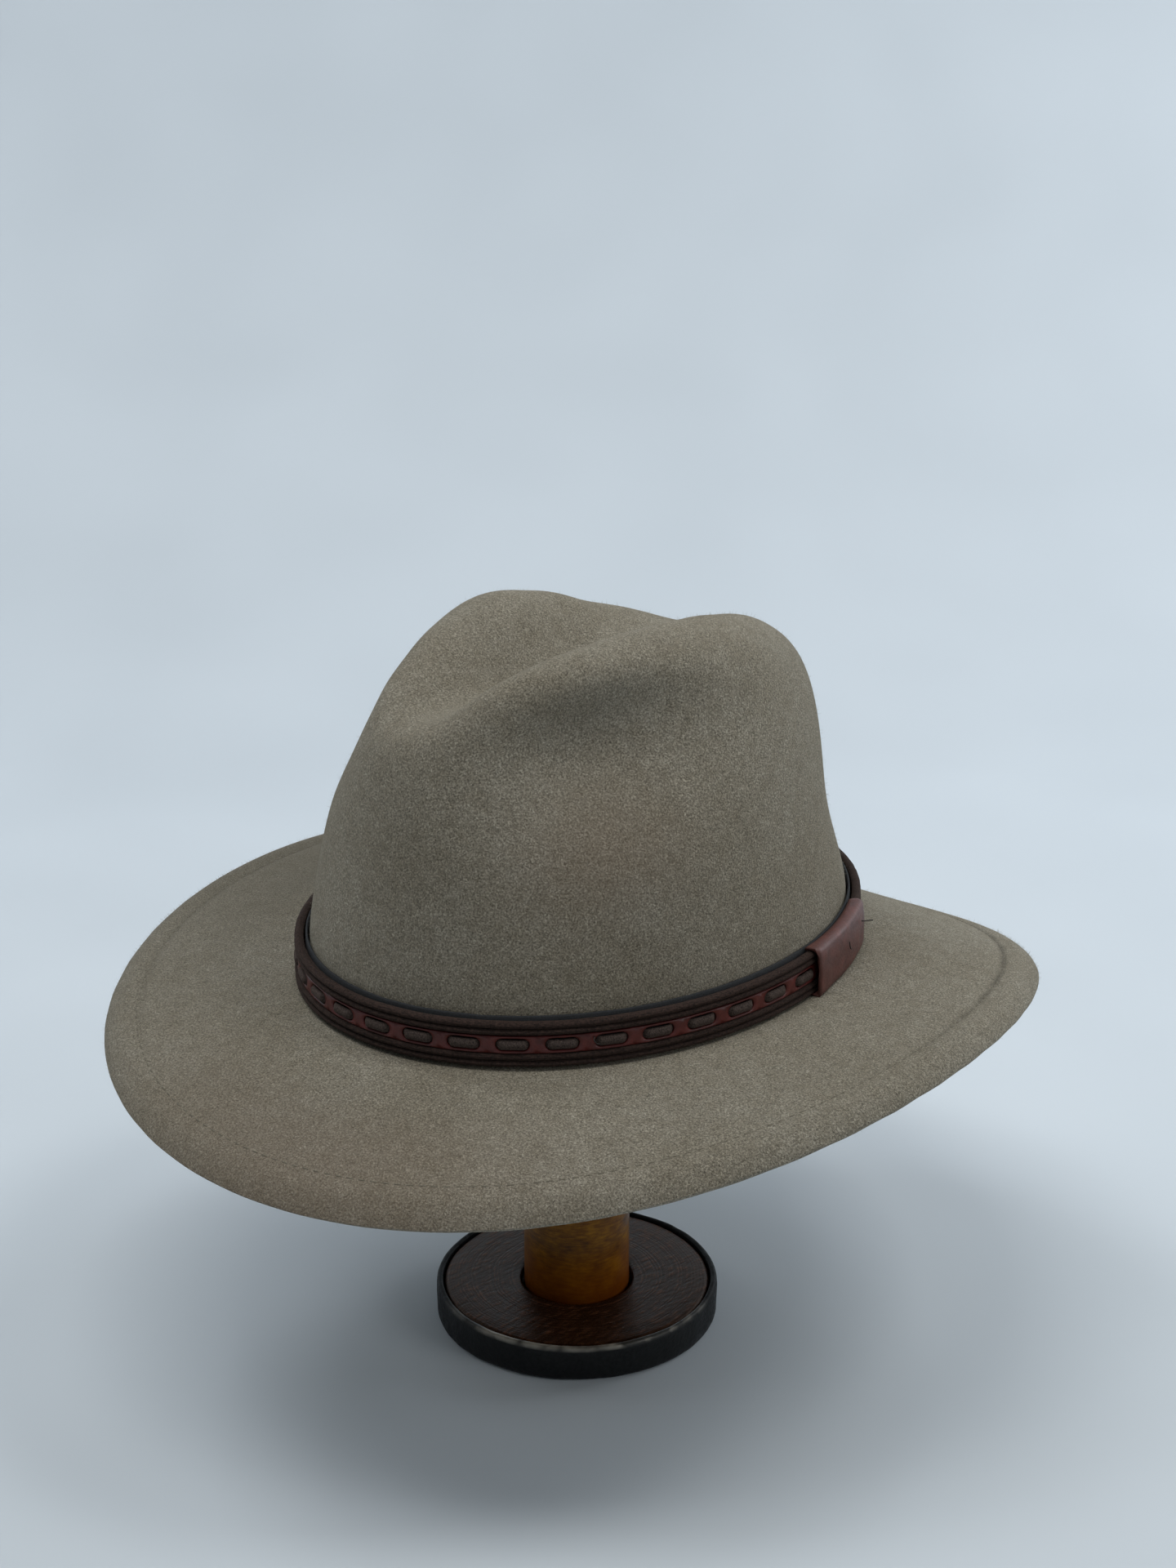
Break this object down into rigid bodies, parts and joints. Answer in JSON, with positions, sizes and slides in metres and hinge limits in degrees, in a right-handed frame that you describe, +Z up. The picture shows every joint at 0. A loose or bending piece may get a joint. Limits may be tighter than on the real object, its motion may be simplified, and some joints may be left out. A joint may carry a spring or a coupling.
{
  "type": "safari hat on a display stand",
  "caption": "Creased felt safari hat with a wide shaped brim and a laced leather band, held up by a turned wooden post on a round iron-rimmed base.",
  "frame": {"origin": "centre of the stand's underside, on the table", "axes": "+Z up, the hat's front towards -Y, the wearer's left towards +X"},
  "size_m": [0.3056, 0.3298, 0.266],
  "materials": {
    "felt": "soft matt felt",
    "band_cloth": "matt cloth",
    "suede_cord": "napped suede",
    "band_leather": "smooth, slight sheen",
    "suede_lace": "napped suede",
    "keeper_leather": "smooth, slight sheen",
    "iron_ring": "blackened, worn rim",
    "base_wood": "dark stain, satin",
    "head_wood": "plain",
    "post_wood": "amber varnish, gloss"
  },
  "bodies": {
    "root": {"felt_body": "felt", "band_backing": "band_cloth", "trim_upper": "suede_cord", "trim_lower": "suede_cord", "leather_strip": "band_leather", "lacing_cord": "suede_lace", "keeper": "keeper_leather", "base_ring": "iron_ring", "base_disc": "base_wood", "stand_head": "head_wood", "post": "post_wood"}
  },
  "joints": []
}
